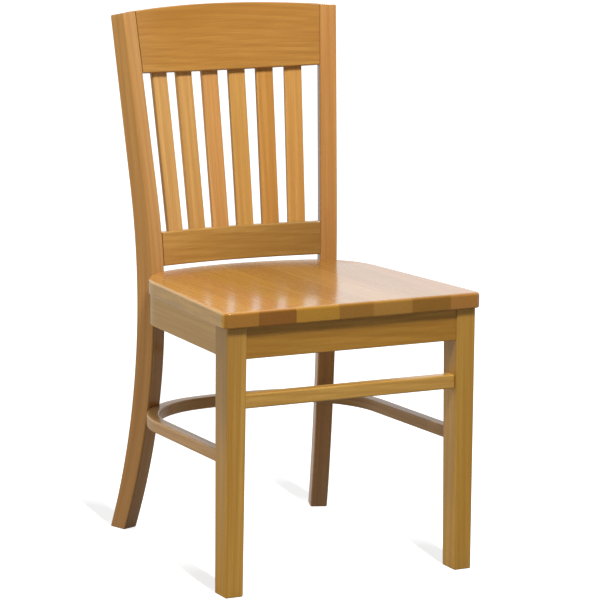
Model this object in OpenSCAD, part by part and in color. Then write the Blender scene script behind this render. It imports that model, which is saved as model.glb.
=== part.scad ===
// Wooden restaurant chair with a slatted back, a seat of glued staves and two bent hoops.
// The chair faces -Y and stands on Z = 0. X runs across it. All lengths are in millimetres.
// Seat, seat frame and front legs are drawn square to each other and tilted together.
// The back is laid out round one upright axis in front of the seat, so posts, rails and slats share a curve.

/* [Seat] */
// Height of the seat's front edge above the floor
seat_h = 450; // [430:1:480]
// Thickness of the seat
seat_t = 25; // [22:0.5:32]
// Slope of the seat down to the back, in degrees
seat_tilt = 1.4; // [0:0.1:2.5]
// Overhang of the seat past the front legs' outer faces, at its front edge
seat_side_over = 8.25; // [7:0.25:11]
// Angle by which each side of the seat runs inward, in degrees
seat_taper = 4.55; // [4:0.05:5]
// Overhang of the seat past the front legs' front faces
seat_front_over = 7; // [4:0.5:12]
// Distance by which the seat reaches back past the faces of the rear legs
seat_back_over = 9.5; // [8:0.5:11]
// Radius of the seat's rear corners
seat_corner_r = 112; // [104:1:118]
// Radius of the seat's front corners
seat_front_r = 12; // [8:1:18]
// Depth of the hollow in the middle of the seat
hollow_depth = 3.5; // [2:0.25:5]
// Radius of the curve of the hollow
hollow_r = 3000; // [2500:50:3500]
// Gap between the seat and the rear legs
seat_gap = 0.3; // [0.1:0.1:0.6]

/* [Seat frame] */
// Distance of the bent apron's outer face inside the front legs' outer faces, at the front
apron_set = 1.5; // [1:0.25:3]
// Angle by which each side of the bent apron runs inward, in degrees
apron_taper = 3.4; // [3:0.1:4]
// Height of the bent apron
apron_h = 49; // [45:0.5:56]
// Thickness of the bent apron
apron_t = 20; // [18:0.5:23]
// Outer radius of the bent apron's rear corners
apron_corner_r = 92; // [84:1:98]
// Depth by which the bent apron is let into the rear legs
apron_let_in = 2.5; // [1.5:0.5:4]
// Height of the straight front apron
front_apron_h = 50.5; // [45:0.5:58]
// Thickness of the straight front apron
front_apron_t = 22; // [18:0.5:26]
// Distance of the front apron's face behind the front legs' faces
front_apron_set = 2.5; // [1:0.5:6]

/* [Front legs] */
// Distance across the outer faces of the front legs
front_w = 437.5; // [437:0.5:445]
// Width of a front leg at the top
leg_w = 34.5; // [33:0.5:38]
// Depth of a front leg at the top
leg_d = 43.5; // [40:0.5:50]
// Amount by which a front leg narrows to the foot on its inner face
leg_taper_in = 4; // [0.5:0.5:6]
// Amount by which a front leg narrows to the foot on its front face
leg_taper_front = 3; // [0.5:0.5:5]
// Amount by which a front leg narrows to the foot on its back face
leg_taper_back = 1; // [0.5:0.5:5]

/* [Rear legs] */
// Width of a rear leg
post_w = 28.5; // [26:0.5:32]
// Amount by which the rear legs' middles at the waist are closer than the front legs' outer faces
post_closer = 127; // [122:1:132]
// Angle by which each rear leg is turned in, in degrees
turn_in = 20.25; // [19:0.05:21.5]
// Distance of the waist, where the rear legs' faces come furthest forward, below the seat's front edge
waist_drop = 88; // [75:1:100]
// Height above the waist at which the rear legs' backs come furthest forward
waist_back_rise = 5; // [3:0.5:10]
// Depth of a rear leg at the waist
waist_d = 38.5; // [36:0.5:42]
// Distance from the front legs' faces back to the rear legs' faces at the waist
rear_set = 377; // [365:1:390]
// Radius of the rear legs' front curve
front_sweep_r = 1080; // [1040:5:1150]
// Radius of the rear legs' back curve
back_sweep_r = 1210; // [1180:5:1250]
// Lean of the straight upper stretch's front face, in degrees
rake = 10.75; // [10:0.05:11.5]
// Lean of the straight upper stretch's back face, in degrees
rake_back = 9.95; // [9.2:0.05:9.95]

/* [Back] */
// Overall height, at the middle of the crest rail
back_h = 864; // [840:1:890]
// Thickness of the crest rail
crest_t = 24; // [22:0.5:27]
// Radius of the arch along the top of the back
crown_r = 1500; // [1200:10:2500]
// Thickness of the lower back rail
lower_rail_t = 23; // [22:0.5:27]
// Gap between the seat and the lower back rail
lower_rail_gap = 7; // [5:0.5:12]
// Width of a slat
slat_w = 30; // [24:0.5:32]
// Thickness of a slat
slat_t = 8.5; // [7:0.5:9]
// Distance of the slats' faces behind the rails' faces
slat_set = 9.5; // [7:0.5:10]
// Depth by which each slat's end goes into its rail
slat_in = 12; // [8:1:16]

/* [Stretchers] */
// Height of the hoop stretcher's section
hoop_h = 19.5; // [18:0.5:22]
// Thickness of the hoop stretcher
hoop_t = 21; // [19:0.5:24]
// Distance of the hoop stretcher's outer face inside the front legs' outer faces, at the front
hoop_set = 4; // [3:0.25:6]
// Angle by which each side of the hoop stretcher runs inward, in degrees
hoop_taper = 1.2; // [0.8:0.1:1.6]
// Outer radius of the hoop stretcher's rear corners
hoop_corner_r = 164; // [156:1:170]
// Depth by which the hoop stretcher is let into the rear legs, at the middle of their width
hoop_let_in = 1; // [0.5:0.5:3]
// Height of the front stretcher's section
stretcher_h = 22.5; // [18:0.5:28]
// Depth of the front stretcher's section
stretcher_d = 18.5; // [16:0.5:22]
// Distance of the front stretcher's face behind the front legs' faces
stretcher_set = 6.5; // [4:0.5:10]

/* [Joinery] */
// Clearance round tenons, dowels, screws and housings
fit = 0.1; // [0.05:0.05:0.2]
// Length of the tenons
tenon_l = 16; // [12:1:18]
// Thickness of the tenons
tenon_t = 9; // [7:0.5:10]
// Shoulder left above and below a tenon
tenon_shoulder = 6; // [4:0.5:7]
// Extra depth at the bottom of a mortise, dowel hole or screw hole
joint_spare = 1; // [0.5:0.5:2]
// Diameter of the dowels
dowel_d = 8; // [6:0.5:9]
// Length of the dowels
dowel_l = 40; // [30:1:44]
// Diameter of a screw's shank
screw_d = 4.5; // [4:0.25:5]
// Diameter of a screw's countersunk head
screw_head_d = 9; // [8:0.5:10]
// Height of a screw's countersunk head
screw_head_h = 3; // [2.5:0.25:3.5]
// Length of the screws that hold the seat frame to the rear legs
leg_screw_l = 42; // [36:1:46]
// Length of the screws that hold the seat
seat_screw_l = 40; // [36:1:42]
// Length of a corner block's two legs
block_leg = 70; // [60:1:80]
// Height of the corner blocks
block_h = 26; // [24:1:30]
// Angle from the middle of the back to each rear seat screw, in degrees
seat_screw_turn = 9; // [7:0.5:11]

/* [Hidden] */
$fn = 160;

LEFT = -1;
RIGHT = 1;
SIDES = [LEFT, RIGHT];
SLATS = 6;
STAVES = 7;

// Overrun of every cut past the face that it breaks through
over = 1;
// Places of the glue lines between staves, as shares of the seat's width from the left
stave_shares = [0, 0.129, 0.271, 0.436, 0.568, 0.72, 0.873, 1];
// Heights of the two stretchers' undersides, as shares of the height under the seat, each at the front
hoop_share = 0.4863;
stretcher_share = 0.6956;
// Heights of the two back rails' faces, as shares of the height of the back above the seat
crest_share = 0.267;
lower_rail_share = 0.134;
// Spacing of the slats as a share of an even spacing, so the gaps at the posts are a little wider
slat_spread_share = 0.95;
// Height of each apron dowel above the apron's bottom edge, as a share of the apron's height
dowel_shares = [0.28, 0.72];
// Height of each leg screw above the apron's bottom edge, as a share of the apron's height
leg_screw_shares = [0.25, 0.75];
// Place of the seat screw along a corner block's leg
block_screw_share = 0.36;
// Share of a dowel's length in the hoop stretcher, where the dowel runs on into a rear leg
rear_dowel_share = 0.35;
// Place of the seat's hollow between the front legs' faces and the rear legs' faces
hollow_share = 0.5;

// Sizes that follow from the driving ones
seat_w = front_w + 2 * seat_side_over;
apron_w = front_w - 2 * apron_set;
hoop_w = front_w - 2 * hoop_set;
post_spacing = front_w - post_closer;
waist_h = seat_h - waist_drop;
waist_back_h = waist_h + waist_back_rise;
crest_h = crest_share * (back_h - seat_h);
lower_rail_h = lower_rail_share * (back_h - seat_h);

// The upright axis of the back and the radius of the rear legs' faces round it, at the waist
waist_r = post_spacing / 2 / sin(turn_in);
axis_y = rear_set - waist_r * cos(turn_in);
// Points where the rear legs' curves run into their straight upper stretches, as radius and height
front_bend = [waist_r + front_sweep_r * (1 - cos(rake)), waist_h + front_sweep_r * sin(rake)];
back_bend = [waist_r + waist_d + back_sweep_r * (1 - cos(rake_back)),
    waist_back_h + back_sweep_r * sin(rake_back)];
top_r = front_bend[0] + (back_h - front_bend[1]) * tan(rake);

// Height of the seat's underside over the front legs' faces, and the length of the front legs
under_h = seat_h - seat_t * cos(seat_tilt) - seat_front_over * sin(seat_tilt);
leg_l = under_h / cos(seat_tilt);
hoop_z = hoop_share * under_h;
stretcher_z = stretcher_share * under_h;

// Foremost and rearmost points, which put the middle of the chair over the origin
foot_share = under_h / (leg_l * cos(seat_tilt) + leg_taper_front * sin(seat_tilt));
foot_y = foot_share * (leg_taper_front * cos(seat_tilt) - leg_l * sin(seat_tilt));
front_y = min(foot_y, -seat_front_over * cos(seat_tilt));
back_y = axis_y + top_r + crest_t * cos(rake);
mid_y = (front_y + back_y) / 2;

// Radius of the rear legs' faces at a height below their straight stretch
function face_r(z) = waist_r + front_sweep_r - sqrt(pow(front_sweep_r, 2) - pow(z - waist_h, 2));
// Height of the point of the tilted frame that lies a distance back and a distance up
function tilted_z(y, up) = under_h + up * cos(seat_tilt) - y * sin(seat_tilt);
// Distance back of the front legs' faces at a height
function leg_face_y(z) = (under_h - z) / under_h * foot_y;
// Height of the tilted hoop stretcher's frame a distance back and a distance up
function hoop_at_z(y, up) = hoop_z + up * cos(seat_tilt) - y * sin(seat_tilt);
// Radius of the back of a bent piece whose rear corner crosses the middle of a rear leg at the radius joint_r
function back_r_past(half_w, taper, corner_r, joint_r) =
    let (k = tan(taper), mid_w = half_w - corner_r / cos(taper), joint_y = axis_y + joint_r * cos(turn_in),
        off = mid_w - joint_r * sin(turn_in), a = 1 + k * k, b = off * k + joint_y,
        mid = (b - sqrt(b * b - a * (off * off + joint_y * joint_y - corner_r * corner_r))) / a)
    norm([mid_w - mid * k, mid - axis_y]) + corner_r;

apron_back_r = face_r(tilted_z(rear_set, -apron_h / 2)) + apron_let_in;
seat_back_r = face_r(tilted_z(rear_set, seat_t)) + seat_back_over;
hoop_joint_r = face_r(hoop_at_z(rear_set, hoop_h / 2)) + hoop_let_in;
hoop_back_r = back_r_past(hoop_w / 2, hoop_taper, hoop_corner_r, hoop_joint_r);
seat_half_w = seat_w / 2 - seat_front_over * tan(seat_taper);

// Lower back rail: its bottom edge, its lean, and the radius of its face at half height
lower_rail_z = tilted_z(axis_y + seat_back_r, seat_t) + lower_rail_gap;
lower_mid_z = lower_rail_z + lower_rail_h / 2;
lower_lean = asin((lower_mid_z - waist_h) / front_sweep_r);
lower_mid_r = face_r(lower_mid_z);
// Crest rail: height of its bottom edge at the middle, and the radius of its face there
crest_z = back_h - crest_h * cos(rake);
crest_r = front_bend[0] + (crest_z - front_bend[1]) * tan(rake);
// Crest rail's tenon, which sits below the arch
crest_tenon_h = crest_h - 3 * tenon_shoulder;
crest_tenon_z = crest_z + crest_tenon_h / 2 * cos(rake);
crest_tenon_r = crest_r + crest_tenon_h / 2 * sin(rake);
// Slats: their lower and upper shoulders as radius and height, their lean, length and spacing
slat_foot = [lower_mid_r + lower_rail_h / 2 * sin(lower_lean),
    lower_mid_z + lower_rail_h / 2 * cos(lower_lean)];
slat_head = [crest_r, crest_z];
slat_lean = atan((slat_head[0] - slat_foot[0]) / (slat_head[1] - slat_foot[1]));
slat_l = (slat_head[1] - slat_foot[1]) / cos(slat_lean);
slat_pitch = 2 * turn_in / (SLATS + 1) * slat_spread_share;

// Inner face of a front leg, inner face of the front apron and back of the front stretcher's face
inner_x = front_w / 2 - leg_w;
apron_in_y = front_apron_set + front_apron_t;
stretcher_y = leg_face_y(stretcher_z) + stretcher_set;

lumber = "peru";
lumber_light = "sandybrown";
lumber_dark = "sienna";
steel = "silver";

// Frames of reference

module placed() {
    translate([0, -mid_y, 0]) children();
}

module sided(side) {
    mirror([side < 0 ? 1 : 0, 0, 0]) children();
}

// Square to the tilted seat: Z = 0 is the seat's underside and Y = 0 the front legs' faces
module tilted() {
    translate([0, 0, under_h]) rotate([-seat_tilt, 0, 0]) children();
}

// Tilted with the seat, since the hoop stretcher is square to the front legs: Z = 0 is its underside
module at_hoop() {
    translate([0, 0, hoop_z]) rotate([-seat_tilt, 0, 0]) children();
}

// Undoes the tilt for shapes that carry their own
module untilted() {
    rotate([seat_tilt, 0, 0]) translate([0, 0, -under_h]) children();
}

// Y is the distance from the back's axis
module round_back(turn) {
    translate([0, axis_y, 0]) rotate([0, 0, -turn]) children();
}

// Outline drawn as distance back and height, and given a width across
module side_view(width) {
    rotate([90, 0, 90]) linear_extrude(width, center = true) children();
}

module above_floor() {
    translate([-front_w, -front_w, 0]) cube([2 * front_w, 3 * front_w, back_h]);
}

// Fastenings, with the head's flat top at Z = screw_head_h and the point downward

module screw(length) {
    cylinder(h = screw_head_h, d1 = screw_d, d2 = screw_head_d);
    translate([0, 0, screw_head_h - length]) cylinder(h = length - screw_head_h, d = screw_d);
}

// The hole runs on past the head for a length of counterbore
module screw_hole(length, counterbore) {
    cylinder(h = screw_head_h, d1 = screw_d + 2 * fit, d2 = screw_head_d + 2 * fit);
    translate([0, 0, screw_head_h]) cylinder(h = counterbore, d = screw_head_d + 2 * fit);
    translate([0, 0, screw_head_h - length - joint_spare])
        cylinder(h = length + joint_spare, d = screw_d + 2 * fit);
}

module dowel_run(grow, spare) {
    rotate([90, 0, 0]) cylinder(h = dowel_l + 2 * spare, d = dowel_d + 2 * grow, center = true);
}

// One outline for the bent apron, the hoop stretcher and the seat

// Distance back of the rear corners' middles
function corner_y(half_w, taper, corner_r, back_r) =
    let (k = tan(taper), w = half_w - corner_r / cos(taper), a = 1 + k * k, b = w * k + axis_y)
    (b + sqrt(b * b - a * (w * w + axis_y * axis_y - pow(back_r - corner_r, 2)))) / a;
// Distance of the rear corners' middles from the middle of the chair
function corner_x(half_w, taper, corner_r, back_r) =
    half_w - corner_r / cos(taper) - corner_y(half_w, taper, corner_r, back_r) * tan(taper);

// The sides run from a starting line to the rear corners, and the inset moves them inward
module bent_outline(half_w, taper, corner_r, back_r, start_y, inset) {
    cx = corner_x(half_w, taper, corner_r, back_r);
    cy = corner_y(half_w, taper, corner_r, back_r);
    r = corner_r - inset;
    side = [cx + r * cos(taper), cy + r * sin(taper)];
    front_x = side[0] + (side[1] - start_y) * tan(taper);
    out = [cx, cy - axis_y] * 2 * corner_r / (back_r - corner_r);
    polygon([[-front_x, start_y], [front_x, start_y], side, [cx, cy], [-cx, cy], [-side[0], side[1]]]);
    for (s = SIDES) translate([s * cx, cy]) circle(r);
    intersection() {
        translate([0, axis_y]) circle(back_r - inset);
        polygon([[-cx, cy], [cx, cy], [cx + out[0], cy + out[1]], [-cx - out[0], cy + out[1]]]);
    }
}

module bent_hoop(half_w, taper, corner_r, back_r, start_y, thick, high, grow) {
    translate([0, 0, -grow]) linear_extrude(high + 2 * grow) difference() {
        bent_outline(half_w + grow / cos(taper), taper, corner_r + grow, back_r + grow, start_y, 0);
        bent_outline(half_w, taper, corner_r, back_r, start_y - over, thick + grow);
    }
}

// The seat's outline: a bent outline whose front corners are rounded
module seat_outline() {
    y = seat_front_r - seat_front_over;
    x = seat_half_w - y * tan(seat_taper) - seat_front_r / cos(seat_taper);
    bent_outline(seat_half_w, seat_taper, seat_corner_r, seat_back_r, y + seat_front_r * sin(seat_taper), 0);
    polygon([[-x, -seat_front_over], [x, -seat_front_over], [x, y],
        [x + seat_front_r * cos(seat_taper), y + seat_front_r * sin(seat_taper)],
        [-x - seat_front_r * cos(seat_taper), y + seat_front_r * sin(seat_taper)], [-x, y]]);
    for (s = SIDES) translate([s * x, y]) circle(seat_front_r);
}

// Bodies that shape each other, drawn before their joints are cut

// The right front leg, run on below the floor
module front_leg_body() {
    below = leg_l + leg_w;
    run = below / leg_l;
    tilted() intersection() {
        rotate([90, 0, 0]) linear_extrude(3 * leg_d, center = true) polygon([
            [front_w / 2, 0], [inner_x, 0], [inner_x + leg_taper_in * run, -below], [front_w / 2, -below]]);
        translate([front_w / 2, 0, 0]) side_view(3 * leg_w) polygon([
            [0, 0], [leg_d, 0], [leg_d - leg_taper_back * run, -below], [leg_taper_front * run, -below]]);
    }
}

module bent_apron_body(grow) {
    tilted() translate([0, 0, -apron_h])
        bent_hoop(apron_w / 2, apron_taper, apron_corner_r, apron_back_r, leg_d / 2, apron_t, apron_h, grow);
}

module hoop_body(grow) {
    at_hoop()
        bent_hoop(hoop_w / 2, hoop_taper, hoop_corner_r, hoop_back_r, leg_d / 2, hoop_t, hoop_h, grow);
}

module front_apron_body() {
    spread = leg_taper_in * front_apron_h / leg_l;
    tilted() translate([0, front_apron_set + front_apron_t, 0]) rotate([90, 0, 0])
        linear_extrude(front_apron_t) polygon([[-inner_x, 0], [inner_x, 0],
            [inner_x + spread, -front_apron_h], [-inner_x - spread, -front_apron_h]]);
}

// Everything under the arch along the top of the back
module under_crown() {
    translate([0, axis_y + top_r, back_h]) rotate([-rake, 0, 0]) translate([0, 0, -crown_r])
        rotate([90, 0, 0]) cylinder(h = 4 * rear_set, r = crown_r, center = true);
}

// A rear leg's outline as radius and height; the inset moves its front face forward
module rear_leg_profile(inset) {
    rise = crest_h + back_h - front_bend[1];
    difference() {
        intersection() {
            translate([waist_r + front_sweep_r, waist_h]) circle(front_sweep_r + inset);
            polygon([[waist_r / 2, 0], [waist_r + front_sweep_r, 0], [waist_r + front_sweep_r, back_bend[1]],
                back_bend, front_bend - [inset * cos(rake), -inset * sin(rake)],
                [waist_r / 2, front_bend[1]]]);
        }
        translate([waist_r + waist_d + back_sweep_r, waist_back_h]) circle(back_sweep_r);
    }
    if (inset == 0) polygon([front_bend, (front_bend + back_bend) / 2 - [0, waist_d], back_bend,
        [back_bend[0] + rise * tan(rake_back), back_bend[1] + rise],
        [front_bend[0] + rise * tan(rake), front_bend[1] + rise]]);
}

// The space between the rear legs' inner faces
module post_space() {
    intersection_for (s = SIDES) {
        sided(s) round_back(turn_in) translate([-2 * front_w - post_w / 2, 0, 0])
            cube([2 * front_w, 2 * front_w, 2 * back_h]);
    }
}

// A curved rail between the rear legs, whose face leans and passes a radius at a height
module rail_body(mid_r, mid_z, lean, high, thick) {
    reach = high + over;
    across = thick / cos(lean);
    intersection() {
        translate([0, axis_y, 0]) rotate([0, 0, 90 - 2 * turn_in])
            rotate_extrude(angle = 4 * turn_in) polygon([
            [mid_r - reach * tan(lean), mid_z - reach], [mid_r - reach * tan(lean) + across, mid_z - reach],
            [mid_r + reach * tan(lean) + across, mid_z + reach], [mid_r + reach * tan(lean), mid_z + reach]]);
        translate([0, axis_y + mid_r, mid_z]) rotate([-lean, 0, 0])
            translate([-front_w, -front_w, -high / 2]) cube([2 * front_w, 2 * front_w, high]);
        post_space();
    }
}

// A back rail's tenon in the right rear leg
module rail_tenon(mid_r, mid_z, lean, high, thick, grow, spare) {
    round_back(turn_in) translate([-post_w / 2, mid_r, mid_z]) rotate([-lean, 0, 0])
        translate([-over, (thick - tenon_t) / 2 - grow, tenon_shoulder - high / 2 - grow])
            cube([over + tenon_l + spare, tenon_t + 2 * grow, high - 2 * tenon_shoulder + 2 * grow]);
}

module crest_tenon(grow, spare) {
    rail_tenon(crest_tenon_r, crest_tenon_z, rake, crest_tenon_h, crest_t, grow, spare);
}

module lower_tenon(grow, spare) {
    rail_tenon(lower_mid_r, lower_mid_z, lower_lean, lower_rail_h, lower_rail_t, grow, spare);
}

// Tenons in the right front leg

module front_apron_tenon(grow, spare) {
    tilted() translate([inner_x - over, front_apron_set + (front_apron_t - tenon_t) / 2 - grow,
        tenon_shoulder - front_apron_h - grow])
        cube([over + tenon_l + spare, tenon_t + 2 * grow, front_apron_h - 2 * tenon_shoulder + 2 * grow]);
}

module front_stretcher_tenon(grow, spare) {
    translate([inner_x - over, stretcher_y + (stretcher_d - tenon_t) / 2 - grow,
        stretcher_z + tenon_shoulder / 2 - grow])
        cube([over + tenon_l + spare, tenon_t + 2 * grow, stretcher_h - tenon_shoulder + 2 * grow]);
}

// Dowels between the right front leg and the two bent pieces

function bent_middle_x(half_w, taper, thick, y) = half_w - y * tan(taper) - thick / 2 / cos(taper);

module apron_dowel_pair(grow, spare) {
    x = bent_middle_x(apron_w / 2, apron_taper, apron_t, leg_d);
    tilted() for (share = dowel_shares)
        translate([x, leg_d, (share - 1) * apron_h]) dowel_run(grow, spare);
}

module hoop_dowel(grow, spare) {
    x = bent_middle_x(hoop_w / 2, hoop_taper, hoop_t, leg_d);
    at_hoop() translate([x, leg_face_y(hoop_z) + leg_d - leg_taper_back, hoop_h / 2]) dowel_run(grow, spare);
}

// Dowel between the hoop stretcher and the right rear leg
module hoop_rear_dowel(grow, spare) {
    out = hoop_joint_r + (1 / 2 - rear_dowel_share) * dowel_l;
    at_hoop() round_back(turn_in) translate([0, out, hoop_h / 2]) dowel_run(grow, spare);
}

// Screws from inside the bent apron into the right rear leg, with their heads flush

// Radius of a bent piece's inner face where it passes the rear leg
function inner_r(half_w, taper, corner_r, back_r, thick) =
    let (cx = corner_x(half_w, taper, corner_r, back_r),
        cy = corner_y(half_w, taper, corner_r, back_r),
        along = cx * sin(turn_in) + (cy - axis_y) * cos(turn_in),
        off = (cy - axis_y) * sin(turn_in) - cx * cos(turn_in))
    off > 0 ? along + sqrt(pow(corner_r - thick, 2) - off * off) : back_r - thick;

module at_inner_face(r, z) {
    round_back(turn_in) translate([0, r + screw_head_h, z]) rotate([90, 0, 0]) children();
}

module leg_screw_places() {
    r = inner_r(apron_w / 2, apron_taper, apron_corner_r, apron_back_r, apron_t);
    for (share = leg_screw_shares) at_inner_face(r, tilted_z(rear_set, (share - 1) * apron_h)) children();
}

// Distance from the middle of the chair to the bent apron's inner face
function apron_in_x(y) = apron_w / 2 - y * tan(apron_taper) - apron_t / cos(apron_taper);

// The right corner block, and the screws that hold the seat on the right

module corner_block_body() {
    rear_y = apron_in_y + block_leg;
    tilted() translate([0, 0, -block_h]) linear_extrude(block_h) polygon([
        [inner_x - block_leg, apron_in_y], [inner_x, apron_in_y], [inner_x, leg_d],
        [apron_in_x(leg_d), leg_d], [apron_in_x(rear_y), rear_y],
        [apron_in_x(rear_y) - block_leg / 4, rear_y]]);
}

// Up into the seat, through the block and through the back of the bent apron
module seat_screw_places() {
    tilted() {
        translate([inner_x - block_screw_share * block_leg,
            apron_in_y + block_screw_share * block_leg, screw_head_h - block_h])
            rotate([180, 0, 0]) children();
        translate([0, axis_y, 0]) rotate([0, 0, -seat_screw_turn])
            translate([0, apron_back_r - apron_t / 2, screw_head_h - block_h]) rotate([180, 0, 0]) children();
    }
}

// The chair's pieces

module rear_leg() {
    color(lumber) difference() {
        intersection() {
            round_back(turn_in) side_view(post_w) rear_leg_profile(0);
            under_crown();
            above_floor();
        }
        crest_tenon(fit, joint_spare);
        lower_tenon(fit, joint_spare);
        bent_apron_body(fit);
        hoop_body(fit);
        leg_screw_places() screw_hole(leg_screw_l, apron_t);
        hoop_rear_dowel(fit, joint_spare);
    }
}

module front_leg() {
    color(lumber) difference() {
        intersection() {
            front_leg_body();
            above_floor();
        }
        front_apron_tenon(fit, joint_spare);
        front_stretcher_tenon(fit, joint_spare);
        apron_dowel_pair(fit, joint_spare);
        hoop_dowel(fit, joint_spare);
    }
}

module bent_apron() {
    color(lumber) difference() {
        bent_apron_body(0);
        for (s = SIDES) sided(s) {
            front_leg_body();
            apron_dowel_pair(fit, joint_spare);
            leg_screw_places() screw_hole(leg_screw_l, apron_t);
            seat_screw_places() screw_hole(seat_screw_l, apron_h);
        }
    }
}

module front_apron() {
    color(lumber) {
        front_apron_body();
        for (s = SIDES) sided(s) front_apron_tenon(0, 0);
    }
}

module front_stretcher() {
    color(lumber) {
        difference() {
            translate([leg_w / 2 - front_w / 2, stretcher_y, stretcher_z])
                cube([front_w - leg_w, stretcher_d, stretcher_h]);
            for (s = SIDES) sided(s) front_leg_body();
        }
        for (s = SIDES) sided(s) front_stretcher_tenon(0, 0);
    }
}

module hoop_stretcher() {
    color(lumber_light) difference() {
        hoop_body(0);
        for (s = SIDES) sided(s) {
            front_leg_body();
            hoop_dowel(fit, joint_spare);
            hoop_rear_dowel(fit, joint_spare);
        }
    }
}

module slat_body(i, grow, spare) {
    round_back((i - (SLATS + 1) / 2) * slat_pitch) translate([-slat_w / 2 - grow, slat_foot[0], slat_foot[1]])
        rotate([-slat_lean, 0, 0]) translate([0, slat_set - grow, -slat_in - spare])
            cube([slat_w + 2 * grow, slat_t + 2 * grow, slat_l + 2 * slat_in + 2 * spare]);
}

module slat(i) {
    color(lumber_light) slat_body(i, 0, 0);
}

module crest_rail() {
    color(lumber) {
        difference() {
            intersection() {
                rail_body(crest_r + crest_h * sin(rake), crest_z + crest_h * cos(rake), rake,
                    2 * crest_h, crest_t);
                under_crown();
            }
            for (i = [1 : SLATS]) slat_body(i, fit, joint_spare);
        }
        for (s = SIDES) sided(s) crest_tenon(0, 0);
    }
}

module lower_back_rail() {
    color(lumber) {
        difference() {
            rail_body(lower_mid_r, lower_mid_z, lower_lean, lower_rail_h, lower_rail_t);
            for (i = [1 : SLATS]) slat_body(i, fit, joint_spare);
        }
        for (s = SIDES) sided(s) lower_tenon(0, 0);
    }
}

// The bottom of a large ball, cut off above the seat
module hollow() {
    rotate_extrude() intersection() {
        translate([0, hollow_r]) circle(hollow_r, $fn = 16 * $fn);
        square([hollow_r, hollow_depth + over]);
    }
}

module seat_body() {
    difference() {
        tilted() linear_extrude(seat_t) seat_outline();
        tilted() translate([0, hollow_share * rear_set, seat_t - hollow_depth]) hollow();
        for (s = SIDES) sided(s) {
            round_back(turn_in) side_view(post_w + 2 * seat_gap) rear_leg_profile(seat_gap);
            seat_screw_places() screw_hole(seat_screw_l, apron_h);
        }
    }
}

module seat_stave(i) {
    from_x = i == 1 ? -seat_w : (stave_shares[i - 1] - 1 / 2) * seat_w;
    to_x = i == STAVES ? seat_w : (stave_shares[i] - 1 / 2) * seat_w;
    color(i % 2 == 0 ? lumber : lumber_light) intersection() {
        seat_body();
        translate([from_x, -front_w, 0]) cube([to_x - from_x, 3 * front_w, seat_h + seat_t]);
    }
}

module corner_block() {
    color(lumber_dark) difference() {
        corner_block_body();
        seat_screw_places() screw_hole(seat_screw_l, apron_h);
    }
}

module both_sides() {
    for (s = SIDES) sided(s) children();
}

module apron_dowels() {
    color(lumber_light) both_sides() apron_dowel_pair(0, 0);
}

module hoop_dowels() {
    color(lumber_light) both_sides() {
        hoop_dowel(0, 0);
        hoop_rear_dowel(0, 0);
    }
}

module leg_screws() {
    color(steel) both_sides() leg_screw_places() screw(leg_screw_l);
}

module seat_screws() {
    color(steel) both_sides() seat_screw_places() screw(seat_screw_l);
}

placed() sided(LEFT) rear_leg();  // rear_leg_left
placed() sided(RIGHT) rear_leg();  // rear_leg_right
placed() sided(LEFT) front_leg();  // front_leg_left
placed() sided(RIGHT) front_leg();  // front_leg_right
placed() bent_apron();
placed() front_apron();
placed() front_stretcher();
placed() hoop_stretcher();
placed() crest_rail();
placed() lower_back_rail();
placed() slat(1);  // slat_1
placed() slat(2);  // slat_2
placed() slat(3);  // slat_3
placed() slat(4);  // slat_4
placed() slat(5);  // slat_5
placed() slat(6);  // slat_6
placed() seat_stave(1);  // seat_stave_1
placed() seat_stave(2);  // seat_stave_2
placed() seat_stave(3);  // seat_stave_3
placed() seat_stave(4);  // seat_stave_4
placed() seat_stave(5);  // seat_stave_5
placed() seat_stave(6);  // seat_stave_6
placed() seat_stave(7);  // seat_stave_7
placed() sided(LEFT) corner_block();  // corner_block_left
placed() sided(RIGHT) corner_block();  // corner_block_right
placed() apron_dowels();
placed() hoop_dowels();
placed() leg_screws();
placed() seat_screws();
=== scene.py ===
# %% [markdown]
# # A restaurant chair in honey-coloured lacquered wood
# The chair stands on four legs, and nothing on it moves. What the eye takes in is the wood: grain that runs
# along each piece, also round the bends, tones that change from stave to stave, and a hard clear lacquer.
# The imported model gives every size. Its solids could be given a material as they are, but their edges are
# sharp and they don't know how the grain runs. So each part that shows is shaped again from a straight board
# with rounded edges, which is then bent, and the grain is stored on the board before it is bent.

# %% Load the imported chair
import math
import bmesh
import bpy
from mathutils import Matrix, Vector


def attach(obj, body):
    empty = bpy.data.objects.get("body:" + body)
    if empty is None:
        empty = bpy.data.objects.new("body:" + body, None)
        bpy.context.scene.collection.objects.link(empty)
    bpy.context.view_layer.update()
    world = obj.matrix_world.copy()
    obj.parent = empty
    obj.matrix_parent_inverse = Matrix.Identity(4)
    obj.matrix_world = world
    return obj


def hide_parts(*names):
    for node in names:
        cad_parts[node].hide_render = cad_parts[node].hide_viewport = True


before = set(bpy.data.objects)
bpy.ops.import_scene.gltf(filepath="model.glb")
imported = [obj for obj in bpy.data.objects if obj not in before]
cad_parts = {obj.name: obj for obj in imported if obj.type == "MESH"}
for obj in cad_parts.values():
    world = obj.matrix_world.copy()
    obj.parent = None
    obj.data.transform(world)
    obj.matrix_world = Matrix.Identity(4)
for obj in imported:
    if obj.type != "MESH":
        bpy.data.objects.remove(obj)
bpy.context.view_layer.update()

# %% [markdown]
# ## Sizes
# These are the chair's driving sizes in metres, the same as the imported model's. The back is laid out round
# one upright axis, which stands in front of the rear legs: their faces, the two rails and the slats all keep
# a distance from it that changes with height. The seat, its frame and the front legs are square to each other
# and tilt back together. Each place could be measured by itself, but rules like these keep pieces in touch.

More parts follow.
